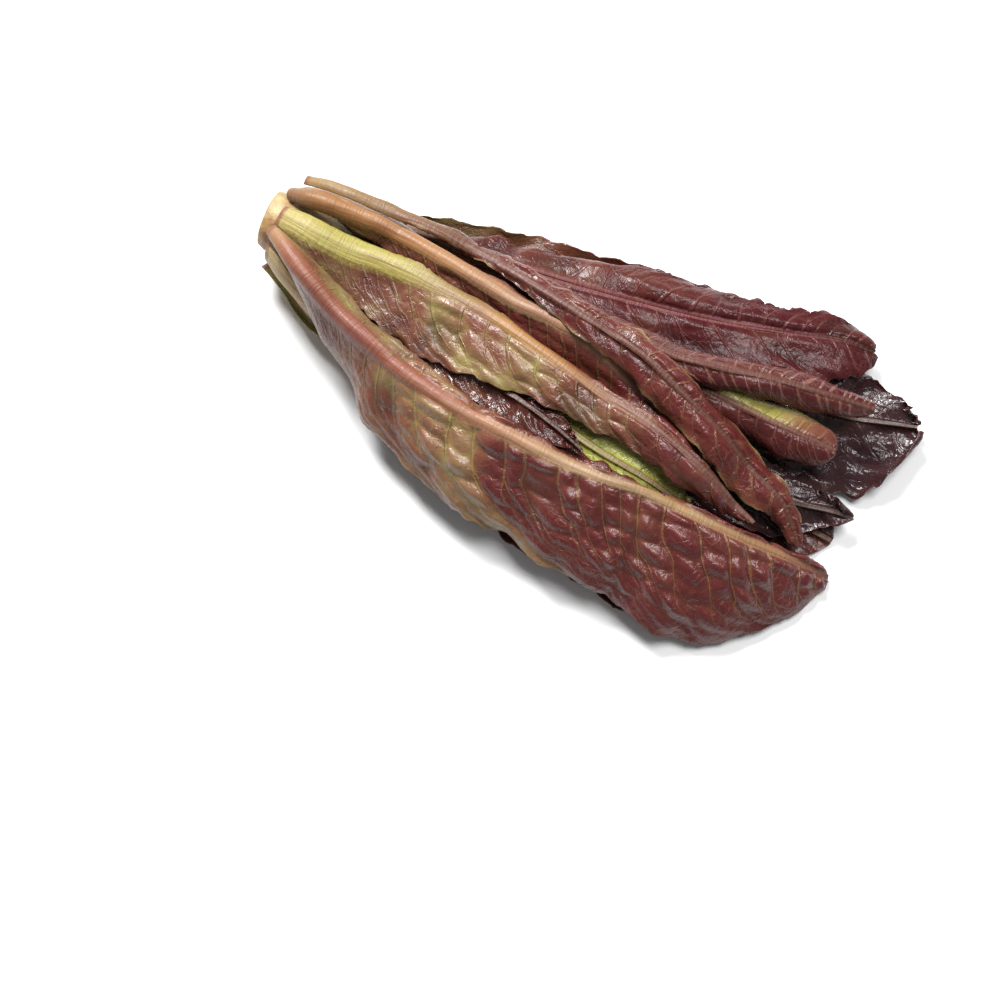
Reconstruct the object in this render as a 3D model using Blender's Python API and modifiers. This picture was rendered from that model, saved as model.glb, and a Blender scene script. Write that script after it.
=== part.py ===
"""A head of red romaine lettuce, lying on its side.

The head points along +X from the cut stem to the leaf tips, and rests on the plane Z = 0.
Every leaf is a thin sheet swept along its rib. The leaves are laid one after another, from the
lowest to the topmost, and each one settles on what lies below it with a small gap.
All sizes in this script are millimetres, until the meshes are written in metres.
"""
import math
from dataclasses import dataclass

import bpy
import numpy as np

MM = 0.001

# Driving dimensions
BLADE = 0.8             # thickness of a blade between its veins
GAP = 0.9               # least height between a leaf and what lies below it
STEM_RADIUS = 13.0      # at the cut end
STEM_END = -140.0       # x of the cut face
STEM_LENGTH = 46.0
STEM_Y = 13.0
STEM_SIDES = 24
CELL = 2.0              # size of a cell in the map of heights
MAP_X = (-180.0, 170.0)
MAP_Y = (-110.0, 110.0)
SPREAD = 5              # cells over which a leaf bridges what lifts it
PRESSED = 2.0           # a rib this close to the ground is pressed flat on it

# Places along a leaf, from root to tip, where its widths and its bends are given
WIDTH_KNOTS = (0.0, 0.12, 0.35, 0.6, 0.85, 1.0)
BEND_KNOTS = (0.0, 0.45, 1.0)
ROLL_END = 0.16         # where the roll of a leaf's root has faded
RIB_ROOT_END = 0.3      # where the extra width of a rib's root has faded

GREEN = (0.33, 0.33, 0.07)
OLIVE = (0.26, 0.17, 0.08)
MAROON = (0.15, 0.045, 0.045)
PINK_MAROON = (0.24, 0.08, 0.07)
DARK = (0.06, 0.025, 0.03)
STEM_CREAM = (0.62, 0.50, 0.28)


@dataclass
class Leaf:
    """One leaf.

    path holds points of the rib, from root to tip. left and right are the half widths measured
    along the blade, at WIDTH_KNOTS. A bend holds, at BEND_KNOTS, the blade's slope in degrees
    beside the rib and at the margin: positive rises, negative droops. rib_width is the rib's half
    width, rib_root what it gains at the root, and lobes the share by which the width swings.
    settle is how far the leaf may sink onto what lies below it, and root_roll the angle in degrees
    by which its root leans to the right.
    """
    name: str
    path: tuple
    left: tuple
    right: tuple
    left_bend: tuple
    right_bend: tuple
    colour: tuple
    rib_below: bool = False
    grounded: bool = False
    rib_width: float = 5.5
    rib_root: float = 3.0
    rib_height: float = 3.2
    wave: float = 2.0
    waves: float = 5.0
    lobes: float = 0.04
    tip_start: float = 0.84
    seed: int = 0
    settle: float = 3.0
    root_roll: float = 0.0
    rows: int = 20
    columns: int = 3


FLAT_CUP = ((8, 20), (5, 24), (4, 18))
LOW_SIDE = ((4, 10), (2, 8), (2, 6))
HIGH_SIDE = ((36, 70), (10, 36), (6, 26))
HEART_CUP = ((10, 24), (8, 24), (6, 18))
FLAT = ((-4, -10), (-3, -8), (-3, -8))
DRAPED = ((-16, -44), (-12, -60), (-8, -44))
HANGING = ((-60, -84), (-22, -78), (-14, -54))
LEANING = ((64, 78), (-3, -10), (-2, -6))
ROLLED = ((-24, -50), (-18, -92), (-14, -86))
FOLDED = ((-18, -44), (-10, -66), (-8, -62))

UNDER_LEAVES = (
    Leaf("leaf_under_middle",
         ((-136, 13, 8), (-108, 9, 5), (-50, 0, 3), (20, -6, 2.5), (85, -10, 2.5), (130, -14, 4)),
         (8, 14, 24, 32, 30, 16), (8, 14, 24, 32, 30, 16), FLAT_CUP, FLAT_CUP, MAROON,
         rib_below=True, rib_height=3.0, grounded=True, wave=3.0, waves=6.0, seed=1, rows=18, columns=4),
    Leaf("leaf_under_front",
         ((-134, 0, 11), (-106, -12, 7), (-50, -33, 4), (10, -49, 3), (65, -58, 3), (113, -62, 5)),
         (3.5, 9, 20, 26, 24, 12), (8, 12, 18, 22, 20, 12), LOW_SIDE, HIGH_SIDE, MAROON,
         rib_below=True, rib_height=3.0, grounded=True, wave=3.2, waves=6.0, seed=2, rows=18, columns=4),
    Leaf("leaf_under_back",
         ((-134, 26, 11), (-104, 30, 7), (-50, 37, 4), (10, 44, 3), (65, 50, 3), (108, 54, 5)),
         (8, 12, 18, 20, 18, 12), (3.5, 9, 20, 26, 24, 12), HIGH_SIDE, LOW_SIDE, MAROON,
         rib_below=True, rib_height=3.0, grounded=True, wave=3.2, waves=6.0, seed=3, rows=18, columns=4),
    Leaf("leaf_inner_front",
         ((-97, 1, 12), (-80, -10, 9), (-45, -24, 7), (15, -34, 6), (66, -40, 6), (102, -44, 8)),
         (5, 9, 18, 23, 22, 10), (5, 9, 18, 22, 20, 10), LOW_SIDE, LOW_SIDE, OLIVE,
         rib_below=True, rib_height=2.6, rib_width=4.5, wave=1.2, seed=4, rows=16),
    Leaf("leaf_inner_back",
         ((-96, 22, 12), (-80, 25, 9), (-45, 29, 7), (15, 34, 6), (60, 38, 6), (94, 42, 8)),
         (5, 9, 17, 20, 18, 10), (5, 9, 18, 23, 22, 10), LOW_SIDE, LOW_SIDE, OLIVE,
         rib_below=True, rib_height=2.6, rib_width=4.5, wave=1.2, seed=5, rows=16),
    Leaf("leaf_dark_broad",
         ((-92, 15, 15), (-74, 15, 11), (-40, 15, 8), (30, 22, 7), (95, 32, 8), (144, 44, 12)),
         (5, 9, 17, 23, 24, 14), (5, 9, 18, 28, 36, 30), LOW_SIDE, LOW_SIDE, DARK,
         rib_below=True, rib_height=2.6, rib_width=4.0, wave=4.2, waves=7.0, tip_start=0.88, seed=6,
         rows=20, columns=4),
    Leaf("leaf_dark_pointed",
         ((-90, 9, 15), (-70, 4, 11), (-30, -4, 8), (35, -8, 7), (95, -9, 8), (134, -3, 12)),
         (5, 8, 14, 17, 13, 5), (5, 8, 15, 20, 18, 6), LOW_SIDE, LOW_SIDE, DARK,
         rib_below=True, rib_height=2.6, rib_width=4.0, wave=2.6, waves=6.0, seed=7, rows=18),
)

HEART_LEAVES = (
    Leaf("leaf_heart_back",
         ((-84, 16, 20), (-55, 17, 20), (5, 18, 19), (66, 14, 15)),
         (4, 8, 13, 15, 12, 5), (4, 8, 13, 15, 12, 5), LOW_SIDE, HEART_CUP, GREEN,
         rib_below=True, rib_height=2.2, rib_width=3.5, wave=1.2, seed=10, rows=14),
    Leaf("leaf_heart_top",
         ((-82, 10, 24), (-50, 8, 25), (6, 2, 24), (74, -8, 19)),
         (4, 8, 12, 14, 11, 5), (4, 8, 12, 14, 11, 5), FLAT, FLAT, GREEN,
         rib_height=2.2, rib_width=3.5, wave=1.2, seed=11, rows=14),
    Leaf("leaf_heart_front",
         ((-84, 4, 20), (-55, -4, 24), (-10, -16, 33), (25, -25, 37), (50, -28, 36), (74, -31, 25)),
         (4, 8, 12, 12, 11, 5), (4, 8, 12, 11, 10, 5), LOW_SIDE, FLAT, GREEN,
         rib_below=True, rib_height=2.2, rib_width=3.5, wave=1.2, seed=9, rows=16),
)

OVER_LEAVES = (
    Leaf("leaf_side_back",
         ((-132, 31, 15), (-112, 33, 21), (-69, 32, 27), (-43, 34, 28), (0, 39, 28), (42, 46, 27),
          (75, 55, 24), (100, 63, 20), (115, 66, 14)),
         (7, 10, 12, 19, 11, 10), (4, 6, 10, 16, 22, 14), ((-60, -84), (24, -60), (20, -44)),
         ((64, 78), (14, -14), (12, -12)), PINK_MAROON,
         rib_height=1.5, rib_width=4.0, wave=1.4, waves=4.0, tip_start=0.95, seed=12, rows=24, columns=4),
    Leaf("leaf_side_front",
         ((-133, -1, 15), (-112, -11, 21), (-50, -33, 23), (10, -48, 18), (68, -56, 13), (104, -60, 8)),
         (3, 6, 18, 22, 20, 12), (7, 10, 20, 24, 22, 12), LEANING, HANGING, MAROON,
         rib_height=3.0, wave=3.0, waves=6.0, seed=13, rows=18, columns=4),
    Leaf("leaf_folded",
         ((-90, 17, 26), (-60, 18, 28), (-6, 20, 30), (35, 18, 33), (71, 16, 34), (94, 15.5, 32),
          (116, 16.5, 27)),
         (3, 4, 6, 10, 12, 12), (3, 4, 6, 10, 12, 12), FOLDED, FOLDED, PINK_MAROON,
         rib_height=1.6, rib_width=3.5, rib_root=1.0, wave=1.0, tip_start=0.96, seed=14,
         rows=20, columns=4),
    Leaf("leaf_shaded",
         ((-104, 4, 30), (-75, -4, 36), (-45, -12, 39), (-15, -19, 40), (5, -24, 39), (22, -29, 37)),
         (5, 9, 13, 12, 8, 3), (5, 9, 13, 12, 9, 4), FLAT, FLAT, DARK,
         rib_below=True, rib_height=2.2, rib_width=3.5, wave=1.2, seed=16, rows=16),
    Leaf("leaf_rolled",
         ((-130, 27, 24), (-110, 29, 27), (-92, 29, 28), (-70, 30, 30), (-39, 29, 34), (-8, 25, 37),
          (15, 22, 40), (37, 21, 42), (57, 24, 42), (77, 29.5, 40), (99, 34, 36), (124, 39.5, 26)),
         (2.5, 3.5, 7, 11, 11, 9), (2.5, 3.5, 7, 11, 11, 9),
         ((-60, -84), (-18, -92), (-14, -86)), ROLLED, PINK_MAROON,
         rib_height=1.6, rib_width=3.5, rib_root=0.0, wave=1.0, tip_start=0.94, seed=15,
         rows=22, columns=4),
    Leaf("leaf_upper",
         ((-134, 23, 29), (-125, 23, 35), (-115, 24, 40), (-102, 25, 43), (-88, 25, 46), (-60, 21, 50),
          (-30, 16, 51), (-8, 14, 48), (11, 11, 45), (38, 2, 41), (66, -10, 35), (77, -18, 30)),
         (2, 5, 5, 5, 5, 4), (2, 6, 13, 20, 18, 9), ((-50, -80), (-12, -60), (-8, -44)),
         ((-10, -40), (-28, -48), (-16, -34)), PINK_MAROON,
         rib_height=2.8, rib_width=5.5, rib_root=0.0, wave=1.6, settle=8.0, root_roll=25,
         seed=18, rows=24, columns=4),
    Leaf("leaf_narrow",
         ((-130, 31, 24), (-108, 31, 28), (-82, 31, 29), (-62, 31, 33), (-45, 29, 37),
          (-20, 23.5, 44), (0, 19.5, 47), (14, 17.5, 46), (30, 14, 44), (51, 7, 41), (70, 1, 37),
          (88, -6, 32), (105, -12, 26), (118, -24, 17)),
         (2, 2.5, 5.5, 8, 8, 5), (2, 2.5, 3, 10, 13, 7), ((-6, -20), (-8, -46), (-8, -40)),
         ((-6, -14), (-2, -12), (-2, -14)), MAROON,
         rib_height=1.2, rib_width=2.8, rib_root=1.0, wave=1.8, waves=9.0, settle=6.0, seed=17, rows=24),
    Leaf("leaf_middle",
         ((-133, 13.5, 31), (-122, 12, 35), (-108, 11, 38), (-87, 11.5, 42), (-59, 9.5, 45),
          (-45, 8, 46), (-28, 5, 47), (-10, 1, 47), (7, -2.5, 46), (19, -5, 45), (43, -9, 42),
          (68, -16, 38), (97, -25, 32)),
         (3, 6, 3.5, 3, 2.5, 2), (3, 17, 31, 16, 11, 6), ((-6, -20), (-8, -44), (-8, -44)),
         ((-6, -14), (-6, -18), (-6, -24)), OLIVE,
         rib_height=1.1, rib_width=4.0, rib_root=3.6, wave=1.4, settle=8.0, seed=19, rows=26, columns=4),
    Leaf("leaf_front",
         ((-134, 4, 29), (-126, -1, 34), (-117, -6.5, 38), (-103, -13, 42), (-87, -19.5, 45),
          (-72, -24.5, 46), (-57, -29, 47), (-28, -34.5, 48), (0, -37, 47), (30, -37, 46),
          (55, -34.5, 43), (80, -34, 38), (100, -33, 31), (117, -31, 22), (134, -28.6, 10)),
         (2, 10, 9, 3, 3.5, 5), (2.5, 13, 37, 44, 54, 26), ((-10, -30), (-14, -36), (-10, -34)),
         ((-50, -80), (-14, -56), (-4, -36)), MAROON,
         rib_height=2.4, rib_width=4.6, rib_root=0.5, wave=2.6, waves=6.0, lobes=0.025,
         settle=8.0, root_roll=25, seed=20, rows=28, columns=5),
)


def along(knots, values, places):
    """Values read along a leaf, with the corners at the knots smoothed."""
    shifts = np.linspace(-0.06, 0.06, 7)
    return np.mean([np.interp(places + shift, knots, values) for shift in shifts], axis=0)


def rib_line(path, places):
    """Points along a smooth curve through the path, at shares of its length."""
    points = np.array(path, float)
    first = 2 * points[0] - points[1]
    last = 2 * points[-1] - points[-2]
    points = np.vstack([first, points, last])
    t = np.linspace(0, 1, 24)[:, None]
    spans = []
    for a, b, c, d in zip(points, points[1:], points[2:], points[3:]):
        spans.append(0.5 * (2 * b + (c - a) * t + (2 * a - 5 * b + 4 * c - d) * t ** 2
                            + (3 * b - a - 3 * c + d) * t ** 3))
    dense = np.vstack(spans)
    run = np.concatenate([[0], np.cumsum(np.linalg.norm(np.diff(dense, axis=0), axis=1))])
    return np.column_stack([np.interp(places * run[-1], run, dense[:, axis]) for axis in range(3)])


def ripple(places, count, draw):
    """A gentle irregular wave along the margin, between about -1 and 1."""
    phase = draw.uniform(0, 2 * math.pi, 3)
    turns = 2 * math.pi * count * places
    return (0.6 * np.sin(turns + phase[0]) + 0.3 * np.sin(1.7 * turns + phase[1])
            + 0.25 * np.sin(0.53 * turns + phase[2]))


def half_width(values, tip_start, places):
    """Half width along the leaf, closed by a rounded tip."""
    end = np.clip((places - tip_start) / (1 - tip_start), 0, 1)
    return along(WIDTH_KNOTS, values, places) * np.maximum(np.sqrt(1 - end ** 2), 0.07)


def triangles_of(grid):
    """The grid's triangles as point numbers, each square split from its first to its last corner."""
    rows, columns = grid.shape[:2]
    index = np.arange(rows * columns).reshape(rows, columns)
    a, b, c, d = index[:-1, :-1], index[1:, :-1], index[1:, 1:], index[:-1, 1:]
    halves = (np.stack([a, b, c], -1), np.stack([a, c, d], -1))
    return np.concatenate([half.reshape(-1, 3) for half in halves])


def surface_normals(grid):
    """Unit normals at the grid's points, each triangle weighed by its angle there."""
    points = grid.reshape(-1, 3)
    triangles = triangles_of(grid)
    normals = np.zeros_like(points)
    for corner in range(3):
        here, after, before = (points[triangles[:, (corner + k) % 3]] for k in range(3))
        across = np.cross(after - here, before - here)
        size = np.linalg.norm(across, axis=1)
        angle = np.arctan2(size, np.sum((after - here) * (before - here), axis=1))
        np.add.at(normals, triangles[:, corner], across * (angle / np.maximum(size, 1e-12))[:, None])
    return (normals / np.linalg.norm(normals, axis=1, keepdims=True)).reshape(grid.shape)


def rib_reach(leaf, places):
    """Half width of the rib, broader at its root."""
    return leaf.rib_width * (1 - 0.72 * places) + leaf.rib_root * np.exp(-(places / RIB_ROOT_END) ** 4)


def side_shares(leaf, places, widths):
    """Shares of the half width where a side's points lie: the rib's edge, then evenly out."""
    edge = np.minimum(rib_reach(leaf, places) / widths, 0.55)[:, None]
    return edge + (1 - edge) * np.linspace(0, 1, leaf.columns)[None, :]


def leaf_side(leaf, places, shares, widths, bends, roll, draw):
    """Distance out from the rib, height over it and raw wave, for one side of a leaf. roll is the
    angle in degrees by which the side is raised at the root."""
    rolled = roll * np.clip(1 - places / ROLL_END, 0, 1)
    start = np.radians(along(BEND_KNOTS, [bend[0] for bend in bends], places) + rolled)[:, None]
    turn = np.radians(along(BEND_KNOTS, [bend[1] for bend in bends], places) + rolled)[:, None] - start
    turn = np.where(np.abs(turn) < 0.01, 0.01, turn)
    widths = (widths * (1 + leaf.lobes * ripple(places, 2.3 * leaf.waves, draw)))[:, None]
    slope = start + turn * shares
    out = widths * (np.sin(slope) - np.sin(start)) / turn
    rise = widths * (np.cos(start) - np.cos(slope)) / turn
    grown = np.clip(places * 4, 0, 1)[:, None]
    wave = leaf.wave * grown * shares ** 2 * ripple(places, leaf.waves, draw)[:, None]
    return out, rise, wave


def leaf_sheet(leaf):
    """The leaf's smooth face as a grid of points, and the rib's share of its height."""
    draw = np.random.default_rng(leaf.seed)
    places = 1 - (1 - np.linspace(0, 1, leaf.rows + 1)) ** 1.15
    rib = rib_line(leaf.path, places)
    ahead = np.gradient(rib, axis=0)
    ahead /= np.linalg.norm(ahead, axis=1, keepdims=True)
    aside = np.cross((0, 0, 1), ahead)
    aside /= np.linalg.norm(aside, axis=1, keepdims=True)
    upward = np.cross(ahead, aside)

    widths = [half_width(values, leaf.tip_start, places) for values in (leaf.right, leaf.left)]
    shares = [side_shares(leaf, places, width) for width in widths]
    right = leaf_side(leaf, places, shares[0], widths[0], leaf.right_bend, -leaf.root_roll, draw)
    left = leaf_side(leaf, places, shares[1], widths[1], leaf.left_bend, leaf.root_roll, draw)
    middle = np.zeros((len(places), 1))
    out = np.hstack([-right[0][:, ::-1], middle, left[0]])
    rise = np.hstack([right[1][:, ::-1], middle, left[1]])
    wave = np.hstack([right[2][:, ::-1], middle, left[2]])
    sheet = rib[:, None, :] + out[:, :, None] * aside[:, None, :] + rise[:, :, None] * upward[:, None, :]
    sheet += wave[:, :, None] * surface_normals(sheet)

    reach = rib_reach(leaf, places)[:, None]
    spans = [share * width[:, None] for share, width in zip(shares, widths)]
    distance = np.hstack([spans[0][:, ::-1], middle, spans[1]])
    taper = np.clip(0.5 + places * 9, 0, 1) * (1 - 0.85 * places)
    bump = taper[:, None] * np.exp(-1.5 * (distance / reach) ** 4)
    return sheet, bump


def ribbed_face(sheet, bump, leaf):
    """The leaf's other face, a blade's thickness away and further at the rib."""
    side = -1.0 if leaf.rib_below else 1.0
    return sheet + side * (BLADE + leaf.rib_height * bump[:, :, None]) * surface_normals(sheet)


def filled_grid(grid, fine=9):
    """Many points on a grid's triangles, each square split from its first to its last corner."""
    steps = (np.arange(fine) + 0.5) / fine
    s, t = np.meshgrid(steps, steps, indexing="ij")
    s, t = s.ravel()[:, None, None, None], t.ravel()[:, None, None, None]
    a, b, c, d = grid[:-1, :-1], grid[1:, :-1], grid[1:, 1:], grid[:-1, 1:]
    lower = a + s * (b - a) + t * (c - b)
    upper = a + t * (d - a) + s * (c - d)
    return np.where(s > t, lower, upper).reshape(-1, 3)


class HeightMap:
    """Heights of what has been laid down so far, cell by cell."""

    def __init__(self):
        self.shape = (int((MAP_X[1] - MAP_X[0]) / CELL), int((MAP_Y[1] - MAP_Y[0]) / CELL))
        self.top = np.zeros(self.shape)

    def cells(self, points):
        column = ((points[:, 0] - MAP_X[0]) / CELL).astype(int)
        row = ((points[:, 1] - MAP_Y[0]) / CELL).astype(int)
        return column, row

    def lowest(self, points):
        low = np.full(self.shape, np.inf)
        np.minimum.at(low, self.cells(points), points[:, 2])
        return low

    def add(self, points):
        np.maximum.at(self.top, self.cells(points), points[:, 2])


def shifted(values, steps, axis, fill):
    """The map moved by some cells, filled in at its edge."""
    moved = np.full_like(values, fill)
    source = [slice(None), slice(None)]
    target = [slice(None), slice(None)]
    source[axis] = slice(max(0, -steps), values.shape[axis] - max(0, steps))
    target[axis] = slice(max(0, steps), values.shape[axis] - max(0, -steps))
    moved[tuple(target)] = values[tuple(source)]
    return moved


def bridged(need):
    """A smooth map that is nowhere below the needed lift. Cells without need hold -inf."""
    for axis in (0, 1):
        need = np.max([shifted(need, k, axis, -np.inf) for k in range(-SPREAD, SPREAD + 1)], axis=0)
    weight = np.isfinite(need).astype(float)
    total = np.where(weight > 0, need, 0.0)
    for reach in (2, 2, SPREAD - 4):
        for axis in (0, 1):
            total = np.sum([shifted(total, k, axis, 0.0) for k in range(-reach, reach + 1)], axis=0)
            weight = np.sum([shifted(weight, k, axis, 0.0) for k in range(-reach, reach + 1)], axis=0)
    return np.where(weight > 0, total / np.maximum(weight, 1e-9), 0.0)


def read_map(values, points):
    """Values of a map at points, blended between the cells' middles."""
    x = np.clip((points[..., 0] - MAP_X[0]) / CELL - 0.5, 0, values.shape[0] - 1.001)
    y = np.clip((points[..., 1] - MAP_Y[0]) / CELL - 0.5, 0, values.shape[1] - 1.001)
    i, j = x.astype(int), y.astype(int)
    x, y = x - i, y - j
    near = values[i, j] * (1 - y) + values[i, j + 1] * y
    far = values[i + 1, j] * (1 - y) + values[i + 1, j + 1] * y
    return near * (1 - x) + far * x


def lift_needed(heights, points):
    """How far each cell's points must rise to clear what lies below them."""
    low = heights.lowest(points)
    return np.where(np.isfinite(low), heights.top + GAP - low, -np.inf)


def lay_leaf(leaf, heights):
    """Settles a leaf on the map and returns its smooth face and rib share."""
    sheet, bump = leaf_sheet(leaf)
    floor = -leaf.settle
    for _ in range(4):
        faces = np.vstack([filled_grid(sheet), filled_grid(ribbed_face(sheet, bump, leaf))])
        lift = np.maximum(bridged(lift_needed(heights, faces)), floor)
        sheet[:, :, 2] += read_map(lift, sheet)
        floor = 0.0
    heights.add(np.vstack([filled_grid(sheet), filled_grid(ribbed_face(sheet, bump, leaf))]))
    return sheet, bump


def stem_profile():
    """Half outline of the stem: distance from its axis and distance from the cut face."""
    shares = ((0.0, 1.0), (0.2, 0.97), (0.5, 0.84), (0.76, 0.66), (0.96, 0.46), (1.06, 0.26),
              (1.03, 0.1), (0.95, 0.0), (0.0, 0.0))
    return [(radius * STEM_RADIUS, length * STEM_LENGTH) for radius, length in shares]


def lay_stem(heights):
    """Rests the stem on the leaves under it and returns the height of its axis."""
    angles = np.radians(np.arange(STEM_SIDES + 1) * 360 / STEM_SIDES)
    rings = [np.column_stack([np.full_like(angles, STEM_END + along_x), STEM_Y + r * np.cos(angles),
                              r * np.sin(angles)]) for r, along_x in stem_profile()]
    grid = np.array(rings)
    need = lift_needed(heights, filled_grid(grid))
    axis_height = need.max()
    grid[:, :, 2] += axis_height
    heights.add(filled_grid(grid))
    return axis_height


def clear_scene():
    for thing in list(bpy.data.objects):
        bpy.data.objects.remove(thing, do_unlink=True)


def make_material(name, colour):
    material = bpy.data.materials.new(name)
    material.use_nodes = True
    shader = material.node_tree.nodes["Principled BSDF"]
    shader.inputs["Base Color"].default_value = (*colour, 1.0)
    shader.inputs["Roughness"].default_value = 0.38
    shader.inputs["Metallic"].default_value = 0.0
    return material


def place(thing, collection, parent, colour):
    collection.objects.link(thing)
    thing.parent = parent
    thing.data.materials.append(make_material(thing.name, colour))
    thing.data.shade_smooth()


def press_rib(thing, shape):
    """Flattens the rib's underside where it lies on the ground, after the sheet is thickened."""
    depsgraph = bpy.context.evaluated_depsgraph_get()
    mesh = bpy.data.meshes.new_from_object(thing.evaluated_get(depsgraph))
    thing.modifiers.clear()
    thing.vertex_groups.clear()
    thing.data = mesh
    rows, columns = shape
    first_below = rows * columns
    middle = columns // 2
    for row in range(rows):
        numbers = [first_below + row * columns + column for column in (middle - 1, middle, middle + 1)]
        if mesh.vertices[numbers[1]].co.z < PRESSED * MM:
            for number in numbers:
                mesh.vertices[number].co.z = 0.0


def make_leaf(leaf, heights, collection, parent):
    """An open sheet of triangles, thickened along its rib."""
    sheet, bump = lay_leaf(leaf, heights)
    mesh = bpy.data.meshes.new(leaf.name)
    mesh.from_pydata((sheet.reshape(-1, 3) * MM).tolist(), [], triangles_of(sheet).tolist())
    thing = bpy.data.objects.new(leaf.name, mesh)
    place(thing, collection, parent, leaf.colour)

    full = BLADE + leaf.rib_height
    group = thing.vertex_groups.new(name="rib")
    for number, share in enumerate(bump.ravel()):
        group.add([number], float(share), "REPLACE")
    solidify = thing.modifiers.new("thickness", "SOLIDIFY")
    solidify.thickness = full * MM
    solidify.offset = -1.0 if leaf.rib_below else 1.0
    solidify.use_even_offset = False
    solidify.vertex_group = "rib"
    solidify.thickness_vertex_group = BLADE / full
    if leaf.grounded:
        press_rib(thing, sheet.shape[:2])
    return thing


def make_stem(heights, collection, parent):
    """The short stem that the leaves grew from: a turned shape, cut square at its end."""
    profile = stem_profile()
    mesh = bpy.data.meshes.new("stem")
    points = [(r * MM, 0.0, z * MM) for r, z in profile]
    mesh.from_pydata(points, [(k, k + 1) for k in range(len(points) - 1)], [])
    thing = bpy.data.objects.new("stem", mesh)
    place(thing, collection, parent, STEM_CREAM)
    screw = thing.modifiers.new("turned", "SCREW")
    screw.steps = STEM_SIDES
    screw.render_steps = STEM_SIDES
    screw.use_merge_vertices = True
    screw.merge_threshold = 0.00001
    thing.rotation_euler = (0.0, math.radians(90), 0.0)
    thing.location = (STEM_END * MM, STEM_Y * MM, lay_stem(heights) * MM)
    return thing


def centre(parent, things):
    """Moves the parent so that the head's box stands centred on the origin."""
    bpy.context.view_layer.update()
    depsgraph = bpy.context.evaluated_depsgraph_get()
    corners = []
    for thing in things:
        solid = thing.evaluated_get(depsgraph)
        mesh = solid.to_mesh()
        corners.extend(solid.matrix_world @ vertex.co for vertex in mesh.vertices)
        solid.to_mesh_clear()
    box = np.array([tuple(corner) for corner in corners])
    low, high = box.min(axis=0), box.max(axis=0)
    parent.location = (-(low[0] + high[0]) / 2, -(low[1] + high[1]) / 2, -low[2])


def main():
    clear_scene()
    collection = bpy.data.collections.new("red_romaine_head")
    bpy.context.scene.collection.children.link(collection)
    head = bpy.data.objects.new("head", None)
    collection.objects.link(head)
    heights = HeightMap()
    things = [make_leaf(leaf, heights, collection, head) for leaf in UNDER_LEAVES]
    things.append(make_stem(heights, collection, head))
    things += [make_leaf(leaf, heights, collection, head) for leaf in HEART_LEAVES + OVER_LEAVES]
    centre(head, things)


main()
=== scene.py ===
"""The look of a head of red romaine lettuce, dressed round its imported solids.

Every leaf is drawn again from the path, widths and bends of its solid, on a finer grid, with its
veins, puckers and torn margin. The leaves settle on each other in the same way as the solids do.
Sizes are millimetres until the meshes are written in metres. Colours are written as they look on
a screen, from 0 to 255.
"""

import math
from dataclasses import dataclass

import bpy
import numpy as np
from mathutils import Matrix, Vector


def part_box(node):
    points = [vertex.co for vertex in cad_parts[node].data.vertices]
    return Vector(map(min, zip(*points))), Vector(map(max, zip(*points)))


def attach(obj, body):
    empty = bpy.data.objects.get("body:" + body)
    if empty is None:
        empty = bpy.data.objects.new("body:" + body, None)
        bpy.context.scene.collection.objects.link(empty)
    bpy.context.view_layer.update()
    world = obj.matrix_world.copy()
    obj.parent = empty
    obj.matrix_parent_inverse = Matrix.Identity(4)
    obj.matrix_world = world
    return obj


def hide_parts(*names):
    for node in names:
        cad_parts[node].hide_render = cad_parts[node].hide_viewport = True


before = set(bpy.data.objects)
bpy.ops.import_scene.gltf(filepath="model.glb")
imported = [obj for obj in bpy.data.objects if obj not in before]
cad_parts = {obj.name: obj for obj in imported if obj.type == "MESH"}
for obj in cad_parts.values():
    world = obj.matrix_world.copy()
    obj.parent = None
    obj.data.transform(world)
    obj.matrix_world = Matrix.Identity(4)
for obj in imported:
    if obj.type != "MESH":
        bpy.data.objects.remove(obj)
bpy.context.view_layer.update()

MM = 0.001

# The solids' own dimensions
GAP = 0.3               # least height between a leaf and what lies below it
STEM_RADIUS = 13.0
STEM_END = -140.0
STEM_LENGTH = 46.0
STEM_Y = 13.0
STEM_SIDES = 72
STEM_ROWS = 90
CELL = 2.0              # size of a cell in the map of heights
MAP_X = (-180.0, 170.0)
MAP_Y = (-110.0, 110.0)
SPREAD = 5              # cells over which a leaf bridges what lifts it
PRESSED = 2.0           # a rib this close to the ground is pressed flat on it
WIDTH_KNOTS = (0.0, 0.12, 0.35, 0.6, 0.85, 1.0)
BEND_KNOTS = (0.0, 0.45, 1.0)
KNOT_BLUR = 0.06        # how far along a leaf the corners at the knots are smoothed
ROLL_END = 0.16         # place along a leaf where the roll of its root has faded
RIB_TAPER = 0.72        # share of a rib's width lost at the tip
RIB_ROOT_END = 0.3      # place where the extra width of a rib's root has faded

# The blade's make-up
BLADE = 0.6             # thickness beside the rib
MARGIN = 0.4            # share of the thickness lost at the margin
RIB_COLUMNS = 7         # grid columns across half a rib
RIB_SHOWN = 0.8         # share of the solid rib's height, the rest being lost in its round flanks
VEIN_LEAN = 0.5         # how far a side vein runs towards the tip for each millimetre out
VEIN_ARCH = 0.8         # how much further it bends before the margin, as a share of the width
VEIN_SLANT = 0.89       # distance between veins for each millimetre between their roots
VEINS_BEFORE = 60.0     # the row of veins starts this far before the root
VEINS_BEYOND = 30.0     # and ends this far beyond the tip
TOOTH = 3.4             # spacing of the margin's teeth
FRILL = 9.0             # length of the margin's small waves
PLATE = 8.0             # length of the swollen plates between the side veins
PLEAT = 11.0            # distance between the long folds beside the rib
PLEAT_RUN = 90.0        # length over which they come and go
FOLD = 24.0             # distance between the creased folds of the whole blade
ROLLING = 17.0          # length of its soft bumps
CRINKLE = 5.0           # length of its small bumps

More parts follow.
